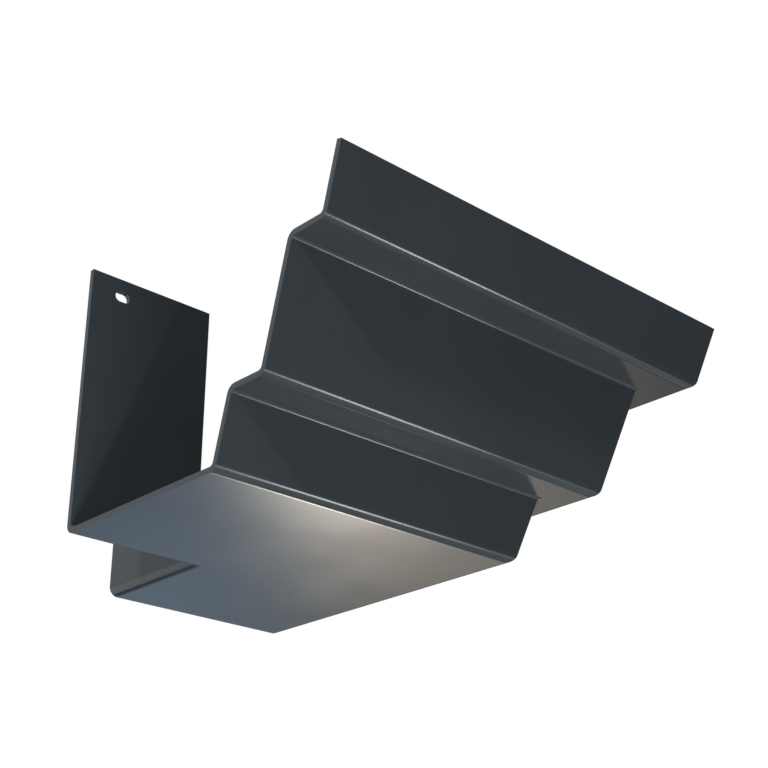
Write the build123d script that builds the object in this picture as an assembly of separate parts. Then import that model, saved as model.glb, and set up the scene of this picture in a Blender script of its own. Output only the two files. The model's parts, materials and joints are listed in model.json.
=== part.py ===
from build123d import *
import os
from math import radians, sqrt, tan

# External gutter corner: two short lengths of a folded aluminium gutter section, mitred and welded into an L that
# carries a gutter round the outside corner of a building.
# The origin is where the two wall faces meet, at the level of the sole's underside. The wall faces lie in the planes
# y = 0 and x = 0, the building fills x < 0 and y > 0, and +Z is up. The wall leg along -X has its front towards -Y,
# and the one along +Y has its front towards +X. All sizes are millimetres.

# Sheet
sheet = 2.5
bend_inside_radius = 2.0

# Section, measured on the outer surface between the sharp corners of its folds
back_height = 124.0
sole_width = 101.0
lower_face_height = 30.0
middle_face_height = 52.0
top_face_height = 30.0
lower_ledge_width = 19.0
upper_ledge_width = 19.0
face_lean = 15.0

# Plan: length of each leg along its wall
wall_leg = 61.5

# One level slot for a fixing screw in each upright back
slot_length = 7.5
slot_width = 5.0
slot_from_end = 16.0
slot_from_top = 8.5

bend_outside_radius = bend_inside_radius + sheet


def section_corners():
    """Sharp corners of the outer surface, from the top of the back round to the free front edge, as (y, z)."""
    lean_per_height = tan(radians(face_lean))
    corners = [(0.0, back_height), (0.0, 0.0), (-sole_width, 0.0)]
    rises = [lower_face_height, middle_face_height, top_face_height]
    ledges = [lower_ledge_width, upper_ledge_width]
    y, z = corners[-1]
    for number, rise in enumerate(rises):
        y -= rise * lean_per_height
        z += rise
        corners.append((y, z))
        if number < len(ledges):
            y -= ledges[number]
            corners.append((y, z))
    return corners


def bend_radii(corners):
    """Outer-surface radius of each fold: large where the section turns round the channel, small where it turns away."""
    radii = []
    for before, here, after in zip(corners, corners[1:], corners[2:]):
        turn = (here[0] - before[0]) * (after[1] - here[1]) - (here[1] - before[1]) * (after[0] - here[0])
        radii.append(bend_outside_radius if turn < 0 else bend_inside_radius)
    return radii


def section_face():
    """The folded sheet's section: its outer line with every fold rounded, given the sheet's thickness inwards."""
    corners = section_corners()
    outer_line = Plane.YZ * FilletPolyline(*corners, radius=bend_radii(corners))
    return make_face(offset(outer_line, amount=sheet, side=Side.RIGHT, closed=True))


def slot_cutter():
    """A level obround through the upright back of the leg along -X."""
    outline = Plane.XZ * SlotOverall(slot_length, slot_width)
    place = Pos(slot_from_end - wall_leg, 0, back_height - slot_from_top)
    return extrude(place * outline, amount=2 * sheet, both=True)


def mitred_leg():
    """The leg along -X, cut on the vertical plane that halves the corner."""
    reach = sole_width + sum(abs(a[0] - b[0]) for a, b in zip(section_corners()[2:], section_corners()[3:]))
    length = extrude(Pos(-wall_leg, 0, 0) * section_face(), amount=wall_leg + reach, dir=(1, 0, 0))
    return split(length - slot_cutter(), bisect_by=mitre_plane, keep=Keep.BOTTOM)


# The mitre holds the wall corner and the sole's outer corner. Its normal points out of the leg along -X.
mitre_plane = Plane(origin=(0, 0, 0), x_dir=(0, 0, 1), z_dir=(1 / sqrt(2), 1 / sqrt(2), 0))

leg = mitred_leg()
gutter_corner = leg + mirror(leg, about=mitre_plane)

os.makedirs("parts", exist_ok=True)
export_step(gutter_corner, "parts/gutter_corner.step")
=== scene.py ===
"""Looks of an external gutter corner: its satin powder coat, the pale studio and the view from below.

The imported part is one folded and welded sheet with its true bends, slots and mitre, so it stays as it is and
gets its finish here. Everything else in this file belongs to the studio: the white room, the pale floor, the
lamps, the dark screen that the leaning faces mirror, the lit panels that the sole and the cut ends mirror,
and the camera.

All sizes are metres in the part's own frame: the origin is where the two wall faces meet, at the level of
the sole's underside, +Z is up, and the fronts of the two legs face -Y and +X. Directions are given as
azimuth, from +X towards +Y, and elevation, both in degrees.
"""

import json
import logging
import math
from dataclasses import dataclass
from enum import Enum

import bpy
import numpy as np
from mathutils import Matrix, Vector


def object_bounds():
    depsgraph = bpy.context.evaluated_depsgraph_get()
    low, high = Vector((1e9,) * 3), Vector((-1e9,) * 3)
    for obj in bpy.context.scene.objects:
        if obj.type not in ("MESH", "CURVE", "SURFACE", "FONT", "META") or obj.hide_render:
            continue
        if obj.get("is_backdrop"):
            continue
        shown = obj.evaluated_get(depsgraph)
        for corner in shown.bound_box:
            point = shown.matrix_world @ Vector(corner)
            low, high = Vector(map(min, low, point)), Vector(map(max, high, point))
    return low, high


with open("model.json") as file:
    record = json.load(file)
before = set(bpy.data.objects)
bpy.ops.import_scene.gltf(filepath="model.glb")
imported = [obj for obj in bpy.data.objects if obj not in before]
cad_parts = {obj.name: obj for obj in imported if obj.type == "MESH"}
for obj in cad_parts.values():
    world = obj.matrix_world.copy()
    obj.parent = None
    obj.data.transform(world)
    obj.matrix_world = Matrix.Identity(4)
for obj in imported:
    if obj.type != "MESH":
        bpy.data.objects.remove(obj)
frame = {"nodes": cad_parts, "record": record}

Colour = tuple[float, float, float]
Point = tuple[float, float, float]
Span = tuple[float, float]

# The values that a noise keeps between over most of its area
NOISE_SPAN: Span = (0.3, 0.7)

# The attribute that holds the light of a lit panel's points
PANEL_ATTRIBUTE = "light"

log = logging.getLogger("gutter_corner")


class Seen(Enum):
    """The kinds of ray that see the white of the room itself and not its light."""

    BY_CAMERA = "Is Camera Ray"
    BY_GLOSS = "Is Glossy Ray"
    BY_CLEAR = "Is Transmission Ray"


def out_from(point: Point, azimuth: float, elevation: float, distance: float) -> Vector:
    """A place that lies off from a point in one direction.

    Args:
        point: the point to start from.
        azimuth: degrees from +X towards +Y.
        elevation: degrees above the level.
        distance: how far off the place is.

    Returns:
        The place.
    """
    a, e = math.radians(azimuth), math.radians(elevation)
    way = Vector((math.cos(a) * math.cos(e), math.sin(a) * math.cos(e), math.sin(e)))
    return Vector(point) + distance * way


@dataclass
class Graph:
    """A node tree that is emptied and then filled node by node."""

    tree: bpy.types.NodeTree

    def __post_init__(self) -> None:
        """Empties the tree."""
        self.tree.nodes.clear()

    def add(self, kind: str, **settings: object) -> bpy.types.Node:
        """Adds a node.

        Args:
            kind: the node's Blender type.
            settings: the node's own properties and their values.

        Returns:
            The new node.
        """
        node = self.tree.nodes.new(kind)
        for name, value in settings.items():
            setattr(node, name, value)
        return node

    def link(self, start: bpy.types.NodeSocket, end: bpy.types.NodeSocket) -> None:
        """Joins an output to an input."""
        self.tree.links.new(start, end)

    def output(self, shader: bpy.types.NodeSocket, kind: str = "ShaderNodeOutputMaterial") -> None:
        """Leads a shader to the tree's output, which is a material's unless another kind is given."""
        self.link(shader, self.add(kind).inputs["Surface"])

    def calculate(self, operation: str, first: float | bpy.types.NodeSocket,
                  second: float | bpy.types.NodeSocket) -> bpy.types.NodeSocket:
        """One step of arithmetic on two inputs.

        Args:
            operation: the name of the Math node's operation.
            first: a number or the output that gives it.
            second: a number or the output that gives it.

        Returns:
            The output that holds the result.
        """
        node = self.add("ShaderNodeMath", operation=operation)
        for place, value in enumerate((first, second)):
            if isinstance(value, bpy.types.NodeSocket):
                self.link(value, node.inputs[place])
            else:
                node.inputs[place].default_value = value
        return node.outputs[0]

    def ranged(self, value: bpy.types.NodeSocket, old: Span, new: Span,
               easing: str = "LINEAR") -> bpy.types.NodeSocket:
        """Carries a value from one range to another and holds it at the ends.

        Args:
            value: the output to carry over.
            old: the two ends of its present range.
            new: what those ends become.
            easing: the name of the Map Range node's interpolation.

        Returns:
            The output that holds the result.
        """
        node = self.add("ShaderNodeMapRange", interpolation_type=easing)
        self.link(value, node.inputs["Value"])
        for name, number in zip(("From Min", "From Max", "To Min", "To Max"), (*old, *new)):
            node.inputs[name].default_value = number
        return node.outputs["Result"]

    def sees_white(self) -> bpy.types.NodeSocket:
        """One for the rays that see the white of the room, and nought for those that carry its light.

        Returns:
            The output that holds the one or nought.
        """
        rays = self.add("ShaderNodeLightPath")
        camera, gloss, clear = (rays.outputs[kind.value] for kind in Seen)
        return self.calculate("MAXIMUM", self.calculate("MAXIMUM", camera, gloss), clear)


def new_material(name: str) -> tuple[bpy.types.Material, Graph]:
    """Makes a material with an empty node tree.

    Args:
        name: the material's name.

    Returns:
        The material and its tree.
    """
    material = bpy.data.materials.new(name)
    material.use_nodes = True
    return material, Graph(material.node_tree)


def surface(name: str, points: np.ndarray, round_closed: bool = False) -> bpy.types.Object:
    """Makes a mesh object from a grid of points, with one face between each four neighbours.

    A point of the grid is a function of two parameters, its row and its column. Faces wind so that they
    point along the cross product of the row's direction and the column's.

    Args:
        name: the object's name.
        points: the grid, as rows by columns by 3.
        round_closed: whether the last column joins the first.

    Returns:
        The new object, linked to the scene.
    """
    rows, columns = points.shape[:2]
    number = np.arange(rows * columns).reshape(rows, columns)
    if round_closed:
        number = np.concatenate((number, number[:, :1]), axis=1)
    corners = np.stack((number[:-1, :-1], number[1:, :-1], number[1:, 1:], number[:-1, 1:]), axis=-1)
    mesh = bpy.data.meshes.new(name)
    mesh.from_pydata(points.reshape(-1, 3), [], corners.reshape(-1, 4))
    mesh.update()
    piece = bpy.data.objects.new(name, mesh)
    bpy.context.scene.collection.objects.link(piece)
    return piece


@dataclass(frozen=True)
class PowderCoat:
    """A satin anthracite polyester powder coat on aluminium sheet.

    The coat has three scales of detail: a broad drift of tone and gloss left by the spray, the orange peel
    that the powder leaves as it flows, and the fine tooth of its cured skin.

    Attributes:
        tone: the coat's colour.
        tone_drift: share by which the tone goes up and down.
        gloss_roughness: the coat's mean roughness.
        roughness_drift: how far the roughness goes up and down.
        drift_size: width of a patch of the drift.
        peel_size: width of one swell of the orange peel.
        peel_depth: height of a swell.
        tooth_size: width of one grain of the skin.
        tooth_depth: height of a grain.
        index: the coat's index of refraction.
    """

    tone: Colour = (0.0395, 0.0482, 0.0545)
    tone_drift: float = 0.04
    gloss_roughness: float = 0.16
    roughness_drift: float = 0.02
    drift_size: float = 0.045
    peel_size: float = 0.0016
    peel_depth: float = 0.0000012
    tooth_size: float = 0.00028
    tooth_depth: float = 0.0000002
    index: float = 1.5

    def material(self, name: str) -> bpy.types.Material:
        """Builds the coat's node material.

        Args:
            name: the material's name.

        Returns:
            The material.
        """
        material, graph = new_material(name)
        place = graph.add("ShaderNodeTexCoord").outputs["Object"]
        shader = graph.add("ShaderNodeBsdfPrincipled")
        shader.inputs["IOR"].default_value = self.index
        drift = self._noise(graph, place, self.drift_size, detail=2.0)
        self._colour(graph, drift, shader.inputs["Base Color"])
        rough = (self.gloss_roughness - self.roughness_drift, self.gloss_roughness + self.roughness_drift)
        graph.link(graph.ranged(drift, NOISE_SPAN, rough), shader.inputs["Roughness"])
        self._relief(graph, place, shader.inputs["Normal"])
        graph.output(shader.outputs["BSDF"])
        return material

    def _noise(self, graph: Graph, place: bpy.types.NodeSocket, size: float,
               detail: float) -> bpy.types.NodeSocket:
        """A noise with swells of one width.

        Args:
            graph: the tree to add to.
            place: the output that gives the place on the piece.
            size: width of a swell, in metres.
            detail: how many finer layers the noise has.

        Returns:
            The noise's value, mostly within NOISE_SPAN.
        """
        noise = graph.add("ShaderNodeTexNoise")
        graph.link(place, noise.inputs["Vector"])
        noise.inputs["Scale"].default_value = 1 / size
        noise.inputs["Detail"].default_value = detail
        return noise.outputs["Fac"]

    def _colour(self, graph: Graph, drift: bpy.types.NodeSocket, end: bpy.types.NodeSocket) -> None:
        """Lets the tone drift a little lighter and darker.

        Args:
            graph: the tree to add to.
            drift: the output that gives the drift.
            end: the input that takes the colour.
        """
        mix = graph.add("ShaderNodeMix", data_type="RGBA")
        colours = [socket for socket in mix.inputs if socket.type == "RGBA"]
        for socket, share in zip(colours, (1 - self.tone_drift, 1 + self.tone_drift)):
            socket.default_value = (*(share * part for part in self.tone), 1)
        graph.link(graph.ranged(drift, NOISE_SPAN, (0.0, 1.0)), mix.inputs["Factor"])
        graph.link(next(socket for socket in mix.outputs if socket.type == "RGBA"), end)

    def _relief(self, graph: Graph, place: bpy.types.NodeSocket, end: bpy.types.NodeSocket) -> None:
        """Raises the orange peel, and the skin's tooth on top of it.

        A swell's height is the noise's span times the bump's distance.

        Args:
            graph: the tree to add to.
            place: the output that gives the place on the piece.
            end: the input that takes the normal.
        """
        low, high = NOISE_SPAN
        normal = None
        for size, depth in ((self.peel_size, self.peel_depth), (self.tooth_size, self.tooth_depth)):
            bump = graph.add("ShaderNodeBump")
            bump.inputs["Strength"].default_value = 1.0
            bump.inputs["Distance"].default_value = depth / (high - low)
            graph.link(self._noise(graph, place, size, detail=1.0), bump.inputs["Height"])
            if normal is not None:
                graph.link(normal, bump.inputs["Normal"])
            normal = bump.outputs["Normal"]
        graph.link(normal, end)


@dataclass(frozen=True)
class PaleFloorFinish:
    """The matt pale finish of the studio floor, which melts into the white of the room away from the object.

    Attributes:
        tone: the floor's colour.
        roughness: the floor's roughness.
        clear_radius: how far from the middle the floor shows its own colour and the object's shadow.
        white_radius: how far from the middle it has become the white of the room.
    """

    tone: Colour = (0.8, 0.8, 0.8)
    roughness: float = 0.9
    clear_radius: float = 0.7
    white_radius: float = 1.6

    def material(self, middle: Point) -> bpy.types.Material:
        """Builds the floor's node material.

        Args:
            middle: the point of the floor under the object.

        Returns:
            The material.
        """
        material, graph = new_material("pale_floor")
        place = graph.add("ShaderNodeTexCoord").outputs["Object"]
        away = graph.add("ShaderNodeVectorMath", operation="DISTANCE")
        graph.link(place, away.inputs[0])
        away.inputs[1].default_value = middle
        radii = (self.clear_radius, self.white_radius)
        far = graph.ranged(away.outputs["Value"], radii, (0.0, 1.0), "SMOOTHSTEP")
        matt = graph.add("ShaderNodeBsdfPrincipled")
        matt.inputs["Base Color"].default_value = (*self.tone, 1)
        matt.inputs["Roughness"].default_value = self.roughness
        white = graph.add("ShaderNodeEmission")
        melt = graph.add("ShaderNodeMixShader")
        graph.link(graph.calculate("MULTIPLY", far, graph.sees_white()), melt.inputs["Fac"])
        graph.link(matt.outputs["BSDF"], melt.inputs[1])
        graph.link(white.outputs["Emission"], melt.inputs[2])
        graph.output(melt.outputs["Shader"])
        return material


@dataclass(frozen=True)
class DarkCloth:
    """The matt dark cloth of the screen that keeps the leaning faces dark.

    Attributes:
        tone: the cloth's colour.
    """

    tone: Colour = (0.05, 0.055, 0.065)

    def material(self) -> bpy.types.Material:
        """Builds the cloth's node material.

        Returns:
            The material.
        """
        material, graph = new_material("dark_cloth")
        cloth = graph.add("ShaderNodeBsdfDiffuse")
        cloth.inputs["Color"].default_value = (*self.tone, 1)
        graph.output(cloth.outputs["BSDF"])
        return material


@dataclass(frozen=True)
class LitCloth:
    """The cloth of a lit panel, which shines with the light that the panel's points hold."""

    def material(self) -> bpy.types.Material:
        """Builds the cloth's node material.

        Returns:
            The material.
        """
        material, graph = new_material("lit_cloth")
        shades = graph.add("ShaderNodeVertexColor", layer_name=PANEL_ATTRIBUTE)
        shine = graph.add("ShaderNodeEmission")
        graph.link(shades.outputs["Color"], shine.inputs["Color"])
        graph.output(shine.outputs["Emission"])
        return material


@dataclass(frozen=True)
class WhiteRoom:
    """The room: white to the camera, to gloss and to clear things, and an even soft light on the rest.

    Attributes:
        light_colour: colour of the room's even light.
        light: strength of that light.
    """

    light_colour: Colour = (0.95, 0.98, 1.0)
    light: float = 0.25

    def build(self) -> None:
        """Makes the room the scene's world."""
        world = bpy.data.worlds.new("white_room")
        world.use_nodes = True
        bpy.context.scene.world = world
        graph = Graph(world.node_tree)
        soft = graph.add("ShaderNodeBackground")
        soft.inputs["Color"].default_value = (*self.light_colour, 1)
        soft.inputs["Strength"].default_value = self.light
        white = graph.add("ShaderNodeBackground")
        white.inputs["Color"].default_value = (1, 1, 1, 1)
        white.inputs["Strength"].default_value = 1.0
        choose = graph.add("ShaderNodeMixShader")
        graph.link(graph.sees_white(), choose.inputs["Fac"])
        graph.link(soft.outputs["Background"], choose.inputs[1])
        graph.link(white.outputs["Background"], choose.inputs[2])
        graph.output(choose.outputs["Shader"], "ShaderNodeOutputWorld")
        log.info("white_room: even light of %.2f", self.light)


@dataclass
class GutterCorner:
    """The folded and welded gutter corner itself.

    Attributes:
        node: the name of its CAD node.
        finish: its coat.
    """

    node: str = "gutter_corner"
    finish: PowderCoat = PowderCoat()

    def dress(self) -> bpy.types.Object:
        """Gives the CAD node its coat.

        Returns:
            The node's object.
        """
        piece = frame["nodes"][self.node]
        slot = frame["record"]["materials"][0]["slot"]
        coat = self.finish.material(slot)
        for holder in piece.material_slots:
            holder.material = coat
        log.info("%s: dressed with %s", self.node, slot)
        return piece


@dataclass
class StudioFloor:
    """A round pale floor below the object and below the camera.

    Attributes:
        middle: the point of the floor under the object.
        radius: the floor's radius.
        hole: the innermost ring's radius, as a share of the floor's.
        rings: how many rings of points it has.
        spokes: how many points a ring has.
        finish: the floor's finish.
    """

    middle: Point
    radius: float = 6.0
    hole: float = 0.0001
    rings: int = 24
    spokes: int = 96
    finish: PaleFloorFinish = PaleFloorFinish()

    def build(self) -> bpy.types.Object:
        """Builds the floor as rings round its middle.

        A point is the middle plus a ring's radius times the cosine and sine of its angle. The square roots
        of the rings' radii grow in even steps, so that the rings lie closest together under the object.

        Returns:
            The floor.
        """
        share = np.linspace(math.sqrt(self.hole), 1.0, self.rings)[:, None] ** 2
        angle = np.linspace(0, 2 * np.pi, self.spokes, endpoint=False)[None, :]
        points = np.empty((self.rings, self.spokes, 3))
        points[..., 0] = self.middle[0] + self.radius * share * np.cos(angle)
        points[..., 1] = self.middle[1] + self.radius * share * np.sin(angle)
        points[..., 2] = self.middle[2]
        floor = surface("studio_floor", points, round_closed=True)
        floor.data.materials.append(self.finish.material(self.middle))
        floor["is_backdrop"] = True
        log.info("studio_floor: %.2f m below the object", -self.middle[2])
        return floor


@dataclass(frozen=True)
class Glow:
    """One soft patch of light on a lit panel, brightest in its middle and fading as a bell curve.

    Attributes:
        azimuth: where its middle is.
        elevation: how high its middle is.
        width: half its width, in degrees, where its light has fallen to about a third.
        height: half its height, in degrees, in the same way.
        light: the light of its middle, where 1 is white.
    """

    azimuth: float
    elevation: float
    width: float
    height: float
    light: Colour

    def at(self, azimuth: np.ndarray, elevation: np.ndarray) -> np.ndarray:
        """The patch's light in many directions.

        The angles off the middle are divided by the half width and the half height. The light is that of
        the middle times e to the power of minus the sum of their squares.

        Args:
            azimuth: the directions' azimuths.
            elevation: the directions' elevations.

        Returns:
            The light, with its three colours along the last axis.
        """
        across = (azimuth - self.azimuth) / self.width
        up = (elevation - self.elevation) / self.height
        return np.exp(-across ** 2 - up ** 2)[..., None] * np.array(self.light)


@dataclass
class Screen:
    """A curved screen, part of a ball round the point that it faces.

    The camera doesn't see it, and it throws no shadow.

    Attributes:
        name: the screen's name.
        facing: the point that it faces.
        azimuths: its two sides, seen from that point.
        elevations: its lower and upper edge, seen from that point.
        distance: how far away it stands.
        step: width of one of its faces, in degrees.
    """

    name: str
    facing: Point
    azimuths: Span
    elevations: Span
    distance: float = 0.95
    step: float = 2.0

    def directions(self) -> tuple[np.ndarray, np.ndarray]:
        """The azimuth and the elevation of each point of the screen's grid."""
        sides = [np.linspace(low, high, int((high - low) / self.step) + 1)
                 for low, high in (self.azimuths, self.elevations)]
        return np.meshgrid(*sides, indexing="ij")

    def build(self, material: bpy.types.Material) -> bpy.types.Object:
        """Builds the screen.

        A point is the faced point plus the distance times the direction's three parts: cos azimuth times cos
        elevation, sin azimuth times cos elevation, and sin elevation.

        Args:
            material: what the screen is made of.

        Returns:
            The screen.
        """
        azimuth, elevation = (np.radians(angle) for angle in self.directions())
        level = np.cos(elevation)
        out = np.stack((np.cos(azimuth) * level, np.sin(azimuth) * level, np.sin(elevation)), axis=-1)
        screen = surface(self.name, np.array(self.facing) + self.distance * out)
        screen.data.materials.append(material)
        screen.visible_camera = False
        screen.visible_shadow = False
        screen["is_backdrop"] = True
        log.info("%s: %.2f m away", self.name, self.distance)
        return screen

    def shine(self, glows: tuple[Glow, ...]) -> bpy.types.Object:
        """Builds the screen as a lit panel, whose light is the sum of its glows.

        Args:
            glows: the patches of light.

        Returns:
            The screen.
        """
        panel = self.build(LitCloth().material())
        light = sum(glow.at(*self.directions()) for glow in glows).reshape(-1, 3)
        shades = panel.data.color_attributes.new(PANEL_ATTRIBUTE, "FLOAT_COLOR", "POINT")
        shades.data.foreach_set("color", np.insert(light, 3, 1.0, axis=1).ravel())
        return panel


@dataclass
class Lamp:
    """A round studio lamp that points at the object, unseen by the camera.

    Attributes:
        name: the lamp's name.
        facing: the point that it lights.
        place: where it stands.
        width: the diameter of its window.
        light: the light that it throws on a white card held square to it, where 1 makes the card white.
    """

    name: str
    facing: Point
    place: Vector
    width: float
    light: float

    def build(self) -> bpy.types.Object:
        """Makes the lamp.

        A lamp's power is the light on the card, times pi, times pi, times the square of the distance.

        Returns:
            The lamp.
        """
        away = self.place - Vector(self.facing)
        data = bpy.data.lights.new(self.name, "AREA")
        data.shape = "DISK"
        data.size = self.width
        data.energy = self.light * (math.pi * away.length) ** 2
        lamp = bpy.data.objects.new(self.name, data)
        bpy.context.scene.collection.objects.link(lamp)
        lamp.location = self.place
        lamp.rotation_mode = "QUATERNION"
        lamp.rotation_quaternion = away.to_track_quat("Z", "Y")
        lamp.visible_camera = False
        log.info("%s: light of %.2f from %.2f m away", self.name, self.light, away.length)
        return lamp


@dataclass
class PhotographView:
    """The camera, where the photograph was taken from: below the object, in front of its left end.

    Attributes:
        place: where the camera is.
        turn: its turn about X, Y and Z, in degrees.
        lens: its focal length, in millimetres.
        sensor: the width of its sensor, in millimetres.
        nearest: how near to it a thing may come and still be seen.
    """

    place: Point = (-0.36635, -0.52008, -0.19895)
    turn: tuple[float, float, float] = (114.457, -0.064, -42.945)
    lens: float = 70.302
    sensor: float = 36.0
    nearest: float = 0.01

    def build(self) -> bpy.types.Object:
        """Makes the camera and gives it to the scene.

        Returns:
            The camera.
        """
        data = bpy.data.cameras.new("photograph_view")
        data.lens = self.lens
        data.sensor_width = self.sensor
        data.clip_start = self.nearest
        camera = bpy.data.objects.new("photograph_view", data)
        bpy.context.scene.collection.objects.link(camera)
        camera.location = self.place
        camera.rotation_euler = [math.radians(angle) for angle in self.turn]
        bpy.context.scene.camera = camera
        log.info("photograph_view: %.1f mm lens", self.lens)
        return camera


@dataclass
class Studio:
    """The room, the floor, the screens and the lamps round the object.

    Attributes:
        low: the lowest corner of the object's box.
        high: the highest corner of the object's box.
        floor_depth: how far below the sole the floor lies.
        sole_light: the patches of light on the panel that the sole mirrors. The first makes the white line
            on the sole's front fold, the next two the warm glow beside it, the others the light round it.
        side_light: the even light of the panel that the cut ends mirror.
        raking_gap: how far out from the wall the way to the raking lamp starts, at the sole's left end.
        raking_way: the direction of that way.
        raking_distance: its length.
    """

    low: Vector
    high: Vector
    floor_depth: float = 0.8
    sole_light: tuple[Glow, ...] = (
        Glow(azimuth=42.5, elevation=-34.5, width=6, height=3.5, light=(16.0, 15.2, 14.0)),
        Glow(azimuth=48, elevation=-25, width=5, height=3.5, light=(9.5, 8.6, 7.2)),
        Glow(azimuth=45, elevation=-24, width=5, height=4.5, light=(1.4, 0.9, 0.5)),
        Glow(azimuth=42, elevation=-28, width=13, height=8, light=(1.1, 1.3, 1.5)),
        Glow(azimuth=62, elevation=-14, width=12, height=10, light=(0.32, 0.44, 0.6)),
        Glow(azimuth=36, elevation=-14, width=12, height=9, light=(0.6, 0.5, 0.35)),
    )
    side_light: tuple[Glow, ...] = (
        Glow(azimuth=129, elevation=22, width=200, height=200, light=(0.6, 0.62, 0.65)),
    )
    raking_gap: float = 0.002
    raking_way: Point = (-1.0, -1.0, -2.55)
    raking_distance: float = 0.52

    @property
    def middle(self) -> Point:
        """The middle of the object's box."""
        return tuple((self.low + self.high) / 2)

    @property
    def sole(self) -> Point:
        """The middle of the front leg's sole."""
        return (0.0, self.low.y / 2, self.low.z)

    @property
    def folds(self) -> Point:
        """The middle of the front leg's outward folds: three quarters of the way out and three tenths up."""
        return (0.0, 0.75 * self.low.y, 0.3 * self.high.z)

    def build(self) -> None:
        """Puts everything up, from the room inwards."""
        WhiteRoom().build()
        StudioFloor(middle=(self.middle[0], self.middle[1], self.low.z - self.floor_depth)).build()
        self.screens()
        for lamp in self.lamps():
            lamp.build()

    def screens(self) -> None:
        """Puts up the dark screen and the two lit panels."""
        dark = Screen("dark_screen", self.middle, azimuths=(-84, -12), elevations=(-28, 44))
        dark.build(DarkCloth().material())
        lit = Screen("lit_panel", self.sole, azimuths=(16, 92), elevations=(-54, 8), step=1.0)
        lit.shine(self.sole_light)
        side = Screen("side_panel", self.middle, azimuths=(98, 160), elevations=(-4, 48))
        side.shine(self.side_light)

    def lamps(self) -> list[Lamp]:
        """The lamps.

        The raking lamp stands below the sole and beyond its left end, so that the edge of that end shades
        the back along a slanting line. The fold lamp gives each outward fold its bright line.

        Returns:
            The lamps, from the brightest on.
        """
        window = out_from(self.middle, azimuth=-153.2, elevation=25.2, distance=1.2)
        front = out_from(self.middle, azimuth=-111.6, elevation=-34.5, distance=0.7)
        end = Vector((self.low.x, -self.raking_gap, self.low.z))
        raking = end + self.raking_distance * Vector(self.raking_way).normalized()
        fold = out_from(self.folds, azimuth=-40.5, elevation=-36, distance=1.25)
        return [
            Lamp("window_lamp", self.middle, window, width=0.09, light=0.51),
            Lamp("front_lamp", self.middle, front, width=0.17, light=0.31),
            Lamp("raking_lamp", self.middle, raking, width=0.012, light=0.3),
            Lamp("fold_lamp", self.folds, fold, width=0.24, light=0.118),
        ]


def main() -> None:
    """Dresses the part and builds the studio, in order."""
    logging.basicConfig(level=logging.INFO, format="%(message)s")
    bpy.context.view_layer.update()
    bpy.context.scene.view_settings.view_transform = "Standard"
    PhotographView().build()
    GutterCorner().dress()
    Studio(*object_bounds()).build()


if __name__ == "__main__":
    main()
